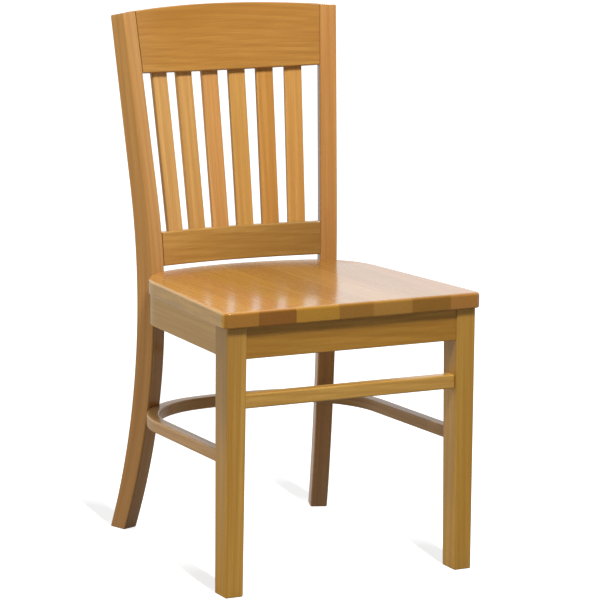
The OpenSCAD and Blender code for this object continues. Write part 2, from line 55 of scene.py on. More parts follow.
# %% Driving sizes
TURN_IN, TILT = math.radians(20.25), math.radians(1.4)
RAKE, RAKE_BACK = math.radians(10.75), math.radians(9.95)
SEAT_H, SEAT_T, SEAT_FRONT_OVER = 0.450, 0.025, 0.007
FRONT_W, LEG_W, LEG_D = 0.4375, 0.0345, 0.0435
TAPER_IN, TAPER_FRONT, TAPER_BACK = 0.004, 0.003, 0.001
POST_W, POST_CLOSER, REAR_SET = 0.0285, 0.127, 0.377
WAIST_DROP, WAIST_BACK_RISE, WAIST_D = 0.088, 0.005, 0.0385
FRONT_SWEEP_R, BACK_SWEEP_R = 1.080, 1.210
BACK_H, CROWN_R, CREST_T = 0.864, 1.500, 0.024
print("seat", SEAT_H, "m high, back", BACK_H, "m high")

# %% Heights and the back's axis
WAIST_H = SEAT_H - WAIST_DROP
WAIST_BACK_H = WAIST_H + WAIST_BACK_RISE
WAIST_R = (FRONT_W - POST_CLOSER) / 2 / math.sin(TURN_IN)
AXIS_Y = REAR_SET - WAIST_R * math.cos(TURN_IN)
UNDER_H = SEAT_H - SEAT_T * math.cos(TILT) - SEAT_FRONT_OVER * math.sin(TILT)
LEG_L = UNDER_H / math.cos(TILT)
print("back's axis at y =", round(AXIS_Y, 4), "and seat's underside at", round(UNDER_H, 4))

# %% Faces of the rear legs, as distances from the back's axis
FACE_BEND = WAIST_H + FRONT_SWEEP_R * math.sin(RAKE)
BACK_BEND = WAIST_BACK_H + BACK_SWEEP_R * math.sin(RAKE_BACK)

def face_r(z):
    """Front face: an arc through the waist, then a straight line that leans back."""
    if z > FACE_BEND:
        return face_r(FACE_BEND) + (z - FACE_BEND) * math.tan(RAKE)
    return WAIST_R + FRONT_SWEEP_R - math.sqrt(FRONT_SWEEP_R ** 2 - (z - WAIST_H) ** 2)

def rear_r(z):
    """Back face, of the same kind."""
    if z > BACK_BEND:
        return rear_r(BACK_BEND) + (z - BACK_BEND) * math.tan(RAKE_BACK)
    return WAIST_R + WAIST_D + BACK_SWEEP_R - math.sqrt(BACK_SWEEP_R ** 2 - (z - WAIST_BACK_H) ** 2)

TOP_R = face_r(BACK_H)
print("rear leg depth at floor, waist and top:",
      [round(rear_r(z) - face_r(z), 4) for z in (0.0, WAIST_H, BACK_H)])

# %% From the layout to the model
# FOOT_Y is the front face of a front foot, which the tilt brings forward. MID_Y is the middle of the chair.
FOOT_Y = (TAPER_FRONT * math.cos(TILT) - LEG_L * math.sin(TILT)) * UNDER_H / (
    LEG_L * math.cos(TILT) + TAPER_FRONT * math.sin(TILT))
MID_Y = (FOOT_Y + AXIS_Y + TOP_R + CREST_T * math.cos(RAKE)) / 2

def placed(x, y, z):
    """From the layout, whose Y starts at the front legs' faces, to the model, whose middle is the origin."""
    return Vector((x, y - MID_Y, z))

def tilted(x, y, up):
    """From a frame square to the seat, with Z = 0 at the seat's underside."""
    return placed(x, y * math.cos(TILT) + up * math.sin(TILT),
                  UNDER_H - y * math.sin(TILT) + up * math.cos(TILT))

def round_back(turn, r, aside, z):
    """From a distance to the back's axis, in a direction turned from straight back."""
    return placed(r * math.sin(turn) + aside * math.cos(turn),
                  AXIS_Y + r * math.cos(turn) - aside * math.sin(turn), z)

def crown_z(p):
    """Height of the arch along the top of the back, over or under a point of the model."""
    sag = CROWN_R - math.sqrt(CROWN_R ** 2 - p.x ** 2)
    return BACK_H - sag / math.cos(RAKE) - (p.y + MID_Y - AXIS_Y - TOP_R) * math.tan(RAKE)

print("front feet at y =", round(placed(0, FOOT_Y, 0).y, 4), "and rear feet at",
      round(round_back(TURN_IN, face_r(0), 0, 0).y, 4))

# %% [markdown]
# ## Camera
# The photograph was taken with a long lens from the front left, a little above the seat, and leans by one
# degree. A lens that long keeps the uprights nearly parallel. A camera could be set by eye, but edges would
# then be off by several pixels, so these numbers come from a fit of the model's edges to the picture. The fit
# gives the lens in pixels of the picture, and the sensor's width turns them into millimetres.

# %% Camera
VIEW_TURN, VIEW_RISE, VIEW_ROLL = math.radians(27.671), math.radians(11.212), math.radians(1.069)
VIEW_FAR, VIEW_AIM = 5.585452, placed(0.009827, 0.20008, 0.415688)
LENS_PIXELS, PICTURE_PIXELS, SENSOR_W = 3485.42, 600, 36.0
right = Vector((math.cos(VIEW_TURN), -math.sin(VIEW_TURN), 0))
backward = Vector((-math.sin(VIEW_TURN) * math.cos(VIEW_RISE), -math.cos(VIEW_TURN) * math.cos(VIEW_RISE),
                   math.sin(VIEW_RISE)))
up = backward.cross(right)
axes = (math.cos(VIEW_ROLL) * right + math.sin(VIEW_ROLL) * up,
        math.cos(VIEW_ROLL) * up - math.sin(VIEW_ROLL) * right, backward)
scene = bpy.context.scene
camera = bpy.data.objects.new("camera", bpy.data.cameras.new("camera"))
camera.data.sensor_width = SENSOR_W
camera.data.lens = LENS_PIXELS / PICTURE_PIXELS * SENSOR_W
turned = Matrix(axes).transposed().to_4x4()
camera.matrix_world = Matrix.Translation(VIEW_AIM + VIEW_FAR * backward) @ turned
scene.collection.objects.link(camera)
scene.camera = camera
print("lens", round(camera.data.lens, 1), "mm, camera at", [round(v, 3) for v in camera.location])

# %% [markdown]
# ## Building materials
# A material is a tree of nodes, which could be drawn by hand in the Shader Editor. In a script, most lines
# only add a node and fill its sockets, so two helpers do that, and a few more stand for what every finish
# repeats. Colours are written as they look on screen, and are made linear for the shader.

# %% Nodes
def feed(tree, node, inputs):
    """Links each input whose value is another node's output, and writes every other value in its socket."""
    for name, value in inputs.items():
        if isinstance(value, bpy.types.NodeSocket):
            tree.links.new(value, node.inputs[name])
        else:
            node.inputs[name].default_value = value
    return node

def add(tree, kind, inputs, **settings):
    """Adds a shader node of a kind, gives it its settings and feeds its inputs."""
    node = tree.nodes.new("ShaderNode" + kind)
    for name, value in settings.items():
        setattr(node, name, value)
    return feed(tree, node, inputs)

def new_material(name):
    material = bpy.data.materials.new(name)
    material.use_nodes = True
    return material, material.node_tree

# %% Colours
BLACK, WHITE = (0.0, 0.0, 0.0, 1.0), (1.0, 1.0, 1.0, 1.0)

def srgb(r, g, b):
    """A colour as seen on screen, turned into the linear numbers that a shader takes."""
    return [((v / 255 + 0.055) / 1.055) ** 2.4 if v > 10 else v / 255 / 12.92 for v in (r, g, b)] + [1.0]

def shaded(colour, red, green, blue):
    """A linear colour of which only these shares are left."""
    return [colour[0] * red, colour[1] * green, colour[2] * blue, 1.0]

def mix_colour(tree, share, first, second):
    """At a share of 0 this is the first colour, and at 1 the second."""
    return add(tree, "Mix", {0: share, 6: first, 7: second}, data_type="RGBA").outputs[2]

print("a screen grey of 128 is", round(srgb(128, 128, 128)[0], 3), "in a shader")

# %% Patterns
BUMP_HEIGHT = 0.0004

def ramp(tree, source, low, high, low_value=0.0, high_value=1.0, **settings):
    """Goes from low_value to high_value while the source goes from low to high."""
    return add(tree, "MapRange", {"Value": source, "From Min": low, "From Max": high, "To Min": low_value,
                                  "To Max": high_value}, **settings).outputs["Result"]

def stretched(tree, place, scale):
    return add(tree, "Mapping", {"Vector": place, "Scale": scale}).outputs["Vector"]

def grain_noise(tree, place, along, across, detail, rough=0.55):
    """Noise with one scale along the grain and another across it."""
    return add(tree, "TexNoise", {"Vector": stretched(tree, place, (along, across, across)), "Scale": 1.0,
                                  "Detail": detail, "Roughness": rough}).outputs["Fac"]

def raised(tree, pattern, strength):
    inputs = {"Height": pattern, "Strength": strength, "Distance": BUMP_HEIGHT}
    return add(tree, "Bump", inputs).outputs["Normal"]

def from_mesh(tree, name, output="Fac"):
    """A value or a vector that is stored on the points of the mesh."""
    return add(tree, "Attribute", {}, attribute_name=name).outputs[output]

# %% [markdown]
# ## Lacquered wood
# The wood is a fine-grained hardwood under honey-coloured lacquer. A picture of wood would stretch at the
# bends and come back from board to board, so the grain is made of patterns stretched along the board: broad
# streaks, faint year rings, fibres and short dark pores. They read a vector stored on the mesh, the place of
# each point in its straight board, so the grain follows every bend. Every board is a stretch of its own in
# the same endless timber, and so no two look alike. The lacquer is the shader's coat, over wood that is a
# little rougher.

# %% Boards that the chair is cut from
GRAIN_STEP = (0.61, 0.23, 0.37)
BOARDS = ("rear_leg_left", "rear_leg_right", "front_leg_left", "front_leg_right", "bent_apron",
          "hoop_stretcher", "front_apron", "front_stretcher", "crest_rail", "lower_back_rail",
          "slat_1", "slat_2", "slat_3", "slat_4", "slat_5", "slat_6")

def grain_start(board):
    """Place of a board's middle in the timber."""
    return [step * (1 + BOARDS.index(board)) for step in GRAIN_STEP]

print(len(BOARDS), "boards, the last at", [round(v, 2) for v in grain_start(BOARDS[-1])])

# %% Grain
# A noise has a scale along the grain, one across it and a detail. Between two of its levels it darkens the
# wood up to a share, to a shade of the deep tone.
BROAD, STREAKS, FIBRES = (0.9, 20.0, 2.0), (2.2, 120.0, 3.0), (6.0, 460.0, 3.0, 0.6)
PORES, SPECKS, RING_SCALE = (60.0, 1500.0, 1.0), (10.0, 900.0, 2.0), (0.55, 26.0, 15.0)
STREAK_DARK, RING_DARK = (0.42, 0.72, 0.55, (0.86, 0.83, 0.76)), (0.35, 1.0, 0.32, (0.80, 0.76, 0.68))
FIBRE_DARK, PORE_DARK = (0.40, 0.70, 0.50, (0.76, 0.74, 0.72)), (0.66, 0.74, 0.35, (0.5, 0.45, 0.4))
BROAD_REACH, MOTTLE_LEVELS, FIBRE_LEVELS = 0.25, (0.35, 0.65), (0.3, 0.7)

def year_rings(tree, place):
    """Slanting waves that noise bends a little, as a sawn board shows its rings."""
    return add(tree, "TexWave", {"Vector": stretched(tree, place, RING_SCALE), "Scale": 1.9,
                                 "Distortion": 2.4, "Detail": 2.0, "Detail Scale": 0.6},
               bands_direction="DIAGONAL").outputs["Fac"]

def grain_colour(tree, place, streaks, fibres, pale, deep, figure):
    """Two tones in broad streaks, and dark patterns over them. figure strengthens the streaks and rings."""
    broad, reach = grain_noise(tree, place, *BROAD), BROAD_REACH / figure
    colour = mix_colour(tree, ramp(tree, broad, 0.5 - reach, 0.5 + reach), deep, pale)
    rings, pores = year_rings(tree, place), grain_noise(tree, place, *PORES)
    for pattern, dark, strength in ((streaks, STREAK_DARK, figure), (rings, RING_DARK, figure),
                                    (fibres, FIBRE_DARK, 1.0), (pores, PORE_DARK, 1.0)):
        low, high, share, shade = dark
        darker = ramp(tree, pattern, low, high, 0.0, share * strength)
        colour = mix_colour(tree, darker, colour, shaded(deep, *shade))
    return colour

def mottled(tree, pattern, colour, contrast):
    """A colour that goes a little darker and lighter with a pattern."""
    dark, light = 1 - contrast, 1 + contrast
    return mix_colour(tree, ramp(tree, pattern, *MOTTLE_LEVELS), shaded(colour, dark, dark, dark),
                      shaded(colour, light, light, light))

# %% Wood under lacquer
END_SHADE, END_CONTRAST, END_FROM, END_TO, END_SHARE = (0.74, 0.69, 0.62), 0.20, 0.2, 0.9, 0.9
# The side tone is painted shade. These give its mottling and where on end_grain_and_side_shade it takes over.
SIDE_SHADE_CONTRAST, SIDE_SHADE_FROM, SIDE_SHADE_TO = 0.14, -0.2, -0.9
WOOD_SHINE, FIBRE_BUMP, SMOOTHER, ROUGHER = 0.15, 0.10, 0.05, 0.06

def lacquered_wood(name, pale, deep, roughness=0.36, coat=0.75, coat_roughness=0.12, figure=1.0,
                   end=None, shade_drift=None, side=None, dull_coat=None):
    """pale and deep are the tones of the streaks, and end is that of the cut ends. shade_drift is painted
    shade:
    it names a board, gives two places along it from its middle, and the share by which the board darkens from
    the first to the second. side is a tone of painted shade for the faces whose end_grain_and_side_shade is
    under zero. dull_coat is the coat where the mesh is dull."""
    material, tree = new_material(name)
    pale, deep = srgb(*pale), srgb(*deep)
    end = srgb(*end) if end else shaded(deep, *END_SHADE)
    place, end_grain_and_side_shade = from_mesh(tree, "board", "Vector"), from_mesh(tree, "end_grain_and_side_shade")
    streaks, fibres = grain_noise(tree, place, *STREAKS), grain_noise(tree, place, *FIBRES)
    colour = grain_colour(tree, place, streaks, fibres, pale, deep, figure)
    end_colour = mottled(tree, grain_noise(tree, place, *SPECKS), end, END_CONTRAST)
    colour = mix_colour(tree, ramp(tree, end_grain_and_side_shade, END_FROM, END_TO, 0.0, END_SHARE), colour, end_colour)
    # Painted shade: faces marked under zero take the darker side tone.
    if side:
        side_shade_colour = mottled(tree, streaks, srgb(*side), SIDE_SHADE_CONTRAST)
        colour = mix_colour(tree, ramp(tree, end_grain_and_side_shade, SIDE_SHADE_TO, SIDE_SHADE_FROM, 1.0, 0.0), colour, side_shade_colour)
    # Painted shade: the board darkens from one place along it to another.
    if shade_drift:
        board, start, stop, share = shade_drift
        along, middle = add(tree, "SeparateXYZ", {0: place}).outputs["X"], grain_start(board)[0]
        darker = ramp(tree, along, middle + start, middle + stop, 0.0, share)
        colour = mix_colour(tree, darker, colour, BLACK)
    if dull_coat is not None:
        coat = ramp(tree, from_mesh(tree, "dull"), 0.0, 1.0, coat, dull_coat)
    feed(tree, tree.nodes["Principled BSDF"], {
        "Base Color": colour, "Specular IOR Level": WOOD_SHINE, "Normal": raised(tree, fibres, FIBRE_BUMP),
        "Roughness": ramp(tree, fibres, *FIBRE_LEVELS, roughness - SMOOTHER, roughness + ROUGHER),
        "Coat Weight": coat, "Coat Roughness": coat_roughness})
    return material

# %% [markdown]
# ## Tones of the pieces
# A chair is put together from boards of more than one tree, so each piece has tones of its own. Some pieces
# are also painted darker towards one end, which is painted shade: the front legs towards the seat, the right
# rear leg towards its foot, the hoop and the lower rail towards their right. Lamps alone would not do this
# without changing their neighbours, so this shade is painted into those pieces' tones. The sides of the seat
# and the upper parts of the front legs' outer faces have a tone of their own, yellower or darker than the
# faces beside them, which is painted shade for how the light falls on them.

# %% Tones of legs, rails and stretchers
# Painted shade on the upper outer faces of the front legs, which the seat keeps light from.
LEG_SIDE_SHADE = (176, 132, 58)
# The right rear leg is painted darker towards its foot: painted shade under the seat.
REAR_LEG_WOOD = {
    "left": lacquered_wood("rear_leg_left_wood", (197, 150, 83), (178, 126, 67)),
    "right": lacquered_wood("rear_leg_right_wood", (206, 153, 87), (180, 127, 68),
                            shade_drift=("rear_leg_right", -0.17, -0.42, 0.12))}
# The front legs are painted darker towards the seat: painted shade under it.
FRONT_LEG_WOOD = {
    "left": lacquered_wood("front_leg_left_wood", (216, 168, 80), (195, 142, 58), side=LEG_SIDE_SHADE,
                           shade_drift=("front_leg_left", -0.18, 0.22, 0.29)),
    "right": lacquered_wood("front_leg_right_wood", (210, 166, 80), (190, 140, 56), side=LEG_SIDE_SHADE,
                            shade_drift=("front_leg_right", -0.18, 0.22, 0.16))}
BENT_WOOD = lacquered_wood("bent_wood", (200, 160, 72), (179, 134, 56))
FRAME_WOOD = lacquered_wood("frame_wood", (181, 135, 55), (162, 113, 39))
STRETCHER_WOOD = lacquered_wood("stretcher_wood", (209, 165, 86), (187, 138, 62))
# The hoop is painted darker towards its right: painted shade.
HOOP_WOOD = lacquered_wood("hoop_wood", (199, 156, 101), (179, 135, 81), roughness=0.34, coat=0.30,
                           shade_drift=("hoop_stretcher", -0.06, 0.24, 0.28))
CREST_WOOD = lacquered_wood("crest_wood", (185, 136, 66), (168, 116, 50))
# The lower rail is painted darker towards its right: painted shade.
LOWER_RAIL_WOOD = lacquered_wood("lower_rail_wood", (201, 156, 83), (179, 129, 60),
                                 shade_drift=("lower_back_rail", -0.4, 0.5, 0.32))
print("wood materials:", [m.name for m in bpy.data.materials if m.name.endswith("_wood")])

# %% Tones of the slats, from left to right
SLAT_TONES = (((215, 169, 102), (189, 140, 78)), ((214, 169, 104), (188, 138, 73)),
              ((215, 163, 99), (192, 136, 73)), ((219, 170, 99), (192, 142, 72)),
              ((205, 154, 83), (181, 125, 56)), ((212, 159, 89), (186, 133, 63)))
SLAT_WOODS = [lacquered_wood("slat_%d_wood" % (i + 1), *tones) for i, tones in enumerate(SLAT_TONES)]
print(len(SLAT_WOODS), "slat woods")

# %% [markdown]
# ## A straight board
# Every wooden part starts as a cube that is scaled to a board and cut across its length. Its long edges are
# rounded with a wide bevel and its ends with a narrow one, then each point's place in the board is written
# to the mesh. Last, a rule bends the board: it takes a place in the board and gives the place in the chair.
# Curve objects could make the bent parts too, but a rule also gives tapers and slanting ends, and the board's
# own coordinates stay known.

# %% Cutting and rounding
NEAR = 1e-6
LONG_SEGMENTS, END_SEGMENTS = 4, 2

def round_edges(bm, edges, radius, segments):
    bmesh.ops.bevel(bm, geom=edges, offset=radius, offset_type="OFFSET", segments=segments, profile=0.5,
                    affect="EDGES", clamp_overlap=True, material=-1)

def cut_through(bm, place, way, **settings):
    """Cuts the mesh along the plane through a place, square to a way."""
    bmesh.ops.bisect_plane(bm, geom=bm.verts[:] + bm.edges[:] + bm.faces[:], dist=NEAR, plane_co=place,
                           plane_no=way, **settings)

def run(edge):
    """How far an edge goes along the board."""
    return abs(edge.verts[0].co.x - edge.verts[1].co.x)

# %% Boards
def store_places(bm, start):
    """Writes to each point its place in the timber, and how squarely it looks out of the board's end."""
    bmesh.ops.recalc_face_normals(bm, faces=bm.faces)
    bm.normal_update()
    place = bm.verts.layers.float_vector.new("board")
    end_grain_and_side_shade = bm.verts.layers.float.new("end_grain_and_side_shade")
    for v in bm.verts:
        v[place] = v.co + Vector(start)
        v[end_grain_and_side_shade] = v.normal.x ** 2

def straight_board(name, size, edges):
    """size is the board's length along X, its width and its thickness. edges is the number of parts that the
    length is cut into, the radius of the long edges and that of the ends' edges."""
    cuts, rounding, end_rounding = edges
    bm = bmesh.new()
    bmesh.ops.create_cube(bm, size=1.0)
    bmesh.ops.scale(bm, vec=size, verts=bm.verts)
    round_edges(bm, [e for e in bm.edges if run(e) > size[0] / 2], rounding, LONG_SEGMENTS)
    round_edges(bm, [e for e in bm.edges if run(e) < NEAR], end_rounding, END_SEGMENTS)
    for i in range(1, cuts):
        cut_through(bm, (size[0] * (i / cuts - 0.5), 0, 0), (1, 0, 0))
    store_places(bm, grain_start(name))
    return bm

def bend(bm, rule):
    for v in bm.verts:
        v.co = rule(*v.co)

# %% [markdown]
# ## From mesh to piece
# A finished piece stands in for one node of the imported chair: that node is hidden, and the piece hangs on
# the root body with a material of its own. The rounded edges are shaded smooth and the flat faces have to stay
# flat. More segments would only nearly do that, so the Weighted Normal modifier does it by letting the large
# faces lead.

# %% Finishing a piece
CREASE = 0.65

def finished(bm, node, material):
    """Makes the piece that replaces a node. Edges that turn by more than CREASE, in radians, stay sharp."""
    bmesh.ops.recalc_face_normals(bm, faces=bm.faces)
    for face in bm.faces:
        face.smooth = True
    for edge in bm.edges:
        edge.smooth = len(edge.link_faces) == 2 and edge.calc_face_angle() < CREASE
    mesh = bpy.data.meshes.new(node + "_wood")
    bm.to_mesh(mesh)
    bm.free()
    mesh.materials.append(material)
    piece = bpy.data.objects.new(node + "_wood", mesh)
    scene.collection.objects.link(piece)
    piece.modifiers.new("flat_faces_lead", "WEIGHTED_NORMAL").keep_sharp = True
    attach(piece, "root")
    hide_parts(node)
    print(piece.name, len(mesh.polygons), "faces")

# %% [markdown]
# ## Rear legs
# Each rear leg is one piece from the floor to the top of the back. It is flat from side to side, and turned
# so that it points to the back's axis. Its front face sweeps forward to a waist near the seat and then leans
# back in a straight line. A joiner saws it out of a wide board, which here would cut the grain lines. Bending
# a board of the leg's own length keeps them along the leg, as they look in the photograph. The top follows
# the arch of the back, and what this takes off is spread over the upper stretch, so that no face gets thin.

# %% Rear legs
REAR_LEG_EDGES, FITTED_ABOVE = (60, 0.0030, 0.0020), 0.6

def rear_leg_rule(side):
    def rule(along, across, depth):
        height = along + BACK_H / 2
        def at(z):
            r = face_r(z) + (depth / WAIST_D + 0.5) * (rear_r(z) - face_r(z))
            return round_back(side * TURN_IN, r, across, z)
        top = BACK_H
        for _ in range(4):
            top = crown_z(at(top))
        share = max(0.0, height / BACK_H - FITTED_ABOVE) / (1 - FITTED_ABOVE)
        return at(height + (top - BACK_H) * share * share * (3 - 2 * share))
    return rule

for label, side in (("left", -1), ("right", 1)):
    node = "rear_leg_" + label
    leg = straight_board(node, (BACK_H, POST_W, WAIST_D), REAR_LEG_EDGES)
    bend(leg, rear_leg_rule(side))
    finished(leg, node, REAR_LEG_WOOD[label])

# %% [markdown]
# ## Front legs
# The front legs are square to the seat, so they reach a little forward at the floor. They taper on the
# inner, front and back faces. The outer face stays upright, and the foot is flat on the floor. Scaling the
# lower end of a cube would taper all faces alike, so a rule places each face by itself. The upper half of the
# outer face is marked for a darker tone of painted shade, because the seat keeps light from it.

# %% Front legs
FRONT_LEG_EDGES = (24, 0.0030, 0.0022)
OUTWARD, MARK_FROM, MARK_REACH = 0.7, -0.05, 0.3

def front_leg_rule(side):
    def rule(along, across, depth):
        drop = 0.5 - along / LEG_L
        def at(share):
            width = LEG_W - TAPER_IN * share
            deep = LEG_D - (TAPER_FRONT + TAPER_BACK) * share
            x = FRONT_W / 2 - width * (0.5 - across / LEG_W)
            return tilted(side * x, TAPER_FRONT * share + deep * (0.5 + depth / LEG_D), -LEG_L * share)
        p = at(drop)
        p.z -= at(1.0).z * max(0.0, drop)
        return p
    return rule

def mark_shaded_outer_face(bm):
    """Marks the outer face from MARK_FROM up, as a share of the leg's length from its middle, for a tone of
    painted shade.
    """
    end_grain_and_side_shade = bm.verts.layers.float["end_grain_and_side_shade"]
    for v in bm.verts:
        if v.normal.y > OUTWARD:
            v[end_grain_and_side_shade] = -min(1.0, max(0.0, (v.co.x / LEG_L - MARK_FROM) / MARK_REACH))

for label, side in (("left", -1), ("right", 1)):
    node = "front_leg_" + label
    leg = straight_board(node, (LEG_L, LEG_W, LEG_D), FRONT_LEG_EDGES)
    mark_shaded_outer_face(leg)
    bend(leg, front_leg_rule(side))
    finished(leg, node, FRONT_LEG_WOOD[label])

# %% [markdown]
# ## Bent pieces
# The seat frame's apron and the hoop stretcher below it are strips of wood that are steamed and bent into a
# U. The outer line has two slanting sides, two round corners and a back that keeps its distance from the
# back's axis. A strip could be drawn along a curve object, but its corners would only come near to arcs. The
# rule walks along that line from the middle of the back, and a depth in the board goes square inward from
# it, so each bend is a true arc and the strip's real length comes out.

# %% Bent outline
def bent_outline(half_w, taper, corner_r, back_r):
    """Middle of the corner that touches the slanting side and the back, where it meets the back, as an angle
    from straight aside, and the lengths of half the back and of the corner."""
    k = math.tan(taper)
    w = half_w - corner_r / math.cos(taper)
    a, b = 1 + k * k, w * k + AXIS_Y
    cy = (b + math.sqrt(b * b - a * (w * w + AXIS_Y ** 2 - (back_r - corner_r) ** 2))) / a
    cx = w - cy * k
    meet = math.atan2(cy - AXIS_Y, cx)
    return cx, cy, meet, back_r * (math.pi / 2 - meet), corner_r * (meet - taper)

def bent_length(half_w, taper, corner_r, back_r, start_y):
    """Length of the strip when it is unrolled, with its sides starting at start_y."""
    cx, cy, meet, back_length, corner_length = bent_outline(half_w, taper, corner_r, back_r)
    side_length = (cy + corner_r * math.sin(taper) - start_y) / math.cos(taper)
    return 2 * (back_length + corner_length + side_length)

# %% Bending a strip along the outline
def bent_rule(half_w, taper, corner_r, back_r, mapped):
    cx, cy, meet, back_length, corner_length = bent_outline(half_w, taper, corner_r, back_r)
    def rule(along, up, inward):
        side, s = (1 if along >= 0 else -1), abs(along)
        if s < back_length:
            turn = math.pi / 2 - s / back_r
            x, y = (back_r - inward) * math.cos(turn), AXIS_Y + (back_r - inward) * math.sin(turn)
        else:
            turn = max(taper, meet - (s - back_length) / corner_r)
            straight = max(0.0, s - back_length - corner_length)
            x = cx + (corner_r - inward) * math.cos(turn) + straight * math.sin(taper)
            y = cy + (corner_r - inward) * math.sin(turn) - straight * math.cos(taper)
        return mapped(side * x, y, up)
    return rule

# %% Bent apron
APRON_SET, APRON_TAPER, APRON_CORNER_R, APRON_LET_IN = 0.0015, math.radians(3.4), 0.092, 0.0025
APRON_H, APRON_T, APRON_EDGES, END_IN = 0.049, 0.020, (110, 0.0015, 0.0003), 0.001
APRON = (FRONT_W / 2 - APRON_SET, APRON_TAPER, APRON_CORNER_R)
apron_r = face_r(UNDER_H - REAR_SET * math.sin(TILT) - APRON_H / 2 * math.cos(TILT)) + APRON_LET_IN
length = bent_length(*APRON, apron_r, LEG_D - END_IN)
apron = straight_board("bent_apron", (length, APRON_H, APRON_T), APRON_EDGES)
bend(apron, lambda a, b, c: bent_rule(*APRON, apron_r, tilted)(a, b - APRON_H / 2, c + APRON_T / 2))
finished(apron, "bent_apron", BENT_WOOD)
print("apron unrolls to", round(length, 3), "m")

# %% Place of the hoop stretcher
HOOP_SHARE, HOOP_LET_IN = 0.4863, 0.001
HOOP_Z, HOOP_H, HOOP_T = HOOP_SHARE * UNDER_H, 0.0195, 0.021

def at_hoop(x, y, up):
    """The hoop is square to the front legs, so it tilts with the seat."""
    return tilted(x, y, up) - Vector((0, 0, UNDER_H - HOOP_Z))

def back_r_past(half_w, taper, corner_r, joint_r):
    """Radius of the hoop's back, for a corner that crosses the middle of a rear leg at the radius joint_r."""
    k, mid_w = math.tan(taper), half_w - corner_r / math.cos(taper)
    joint_y, off = AXIS_Y + joint_r * math.cos(TURN_IN), mid_w - joint_r * math.sin(TURN_IN)
    a, b = 1 + k * k, off * k + joint_y
    mid = (b - math.sqrt(b * b - a * (off * off + joint_y * joint_y - corner_r * corner_r))) / a
    return math.hypot(mid_w - mid * k, mid - AXIS_Y) + corner_r

joint_z = HOOP_Z + HOOP_H / 2 * math.cos(TILT) - REAR_SET * math.sin(TILT)
print("the hoop meets the rear legs", round(joint_z, 3), "m above the floor")

# %% Hoop stretcher
HOOP_SET, HOOP_TAPER, HOOP_CORNER_R = 0.004, math.radians(1.2), 0.164
HOOP_EDGES = (110, 0.0030, 0.0003)
HOOP = (FRONT_W / 2 - HOOP_SET, HOOP_TAPER, HOOP_CORNER_R)
hoop_r = back_r_past(*HOOP, face_r(joint_z) + HOOP_LET_IN)
leg_back_y = FOOT_Y * (1 - HOOP_Z / UNDER_H) + LEG_D - TAPER_BACK / 2
length = bent_length(*HOOP, hoop_r, leg_back_y - END_IN)
hoop = straight_board("hoop_stretcher", (length, HOOP_H, HOOP_T), HOOP_EDGES)
bend(hoop, lambda a, b, c: bent_rule(*HOOP, hoop_r, at_hoop)(a, b + HOOP_H / 2, c + HOOP_T / 2))
finished(hoop, "hoop_stretcher", HOOP_WOOD)
print("hoop unrolls to", round(length, 3), "m")

# %% [markdown]
# ## Straight parts of the front
# The front apron hangs under the seat's edge between the front legs, and the front stretcher crosses between
# them lower down. Both are plain boards. Their ends could run into the legs, but the legs taper, so the rule
# makes the ends follow the slanting inner faces. The boards are one metre long before it, because the rule
# takes a place along them as a share.

# %% Front apron
FRONT_APRON_H, FRONT_APRON_T, FRONT_APRON_SET = 0.0505, 0.022, 0.0025
FRONT_APRON_EDGES = (6, 0.0015, 0.0008)

def inner_x(drop):
    """Distance from the middle to a front leg's inner face, at a drop under the seat."""
    return FRONT_W / 2 - LEG_W + TAPER_IN * drop / LEG_L

def front_apron_rule(along, up, depth):
    drop = FRONT_APRON_H / 2 - up
    return tilted(2 * along * inner_x(drop), FRONT_APRON_SET + FRONT_APRON_T / 2 + depth, -drop)

front_apron = straight_board("front_apron", (1.0, FRONT_APRON_H, FRONT_APRON_T), FRONT_APRON_EDGES)
bend(front_apron, front_apron_rule)
finished(front_apron, "front_apron", FRAME_WOOD)

# %% Front stretcher
STRETCHER_SHARE, STRETCHER_SET, STRETCHER_EDGES = 0.6956, 0.0065, (6, 0.0025, 0.0008)
STRETCHER_Z, STRETCHER_H, STRETCHER_D = STRETCHER_SHARE * UNDER_H, 0.0225, 0.0185
stretcher_y = FOOT_Y * (1 - STRETCHER_Z / UNDER_H) + STRETCHER_SET

def front_stretcher_rule(along, up, depth):
    z = STRETCHER_Z + STRETCHER_H / 2 + up
    return placed(2 * along * inner_x(UNDER_H - z), stretcher_y + STRETCHER_D / 2 + depth, z)

front_stretcher = straight_board("front_stretcher", (1.0, STRETCHER_H, STRETCHER_D), STRETCHER_EDGES)
bend(front_stretcher, front_stretcher_rule)
finished(front_stretcher, "front_stretcher", STRETCHER_WOOD)

# %% [markdown]
# ## Rails of the back
# The crest rail and the lower rail are sawn to the same curve as the faces of the rear legs. Their edges are
# square to the face at the middle, so they rise a little towards the legs. The crest's top edge is the arch.
# A flat board with a bend modifier would miss this rise, so the rule looks for the point of the curved face
# that lies in the plane of the edge.

# %% Curved rails
def rail_rule(mid_r, mid_z, lean, low, top_of, thick, high):
    """low is the height of the bottom edge over the middle point, along the lean. top_of gives the top's."""
    def face_point(turn, k):
        rise = (k + mid_r * (1 - math.cos(turn)) * math.sin(lean)) / (
            math.tan(lean) * math.cos(turn) * math.sin(lean) + math.cos(lean))
        return mid_r + rise * math.tan(lean), mid_z + rise
    def rule(along, up, depth):
        share, deep = 0.5 + up / high, depth + thick / 2
        turn = 2 * along * TURN_IN
        for _ in range(3):
            top = top_of(mid_r * math.sin(turn))
            r, z = face_point(turn, low + share * (top - low))
            r, z = r + deep * math.cos(lean), z - deep * math.sin(lean)
            turn = 2 * along * (TURN_IN - math.asin(POST_W / 2 / r))
        return round_back(turn, r, 0.0, z)
    return rule

# %% Crest rail
CREST_SHARE, RAIL_EDGES = 0.267, (48, 0.0025, 0.0007)
CREST_H = CREST_SHARE * (BACK_H - SEAT_H)

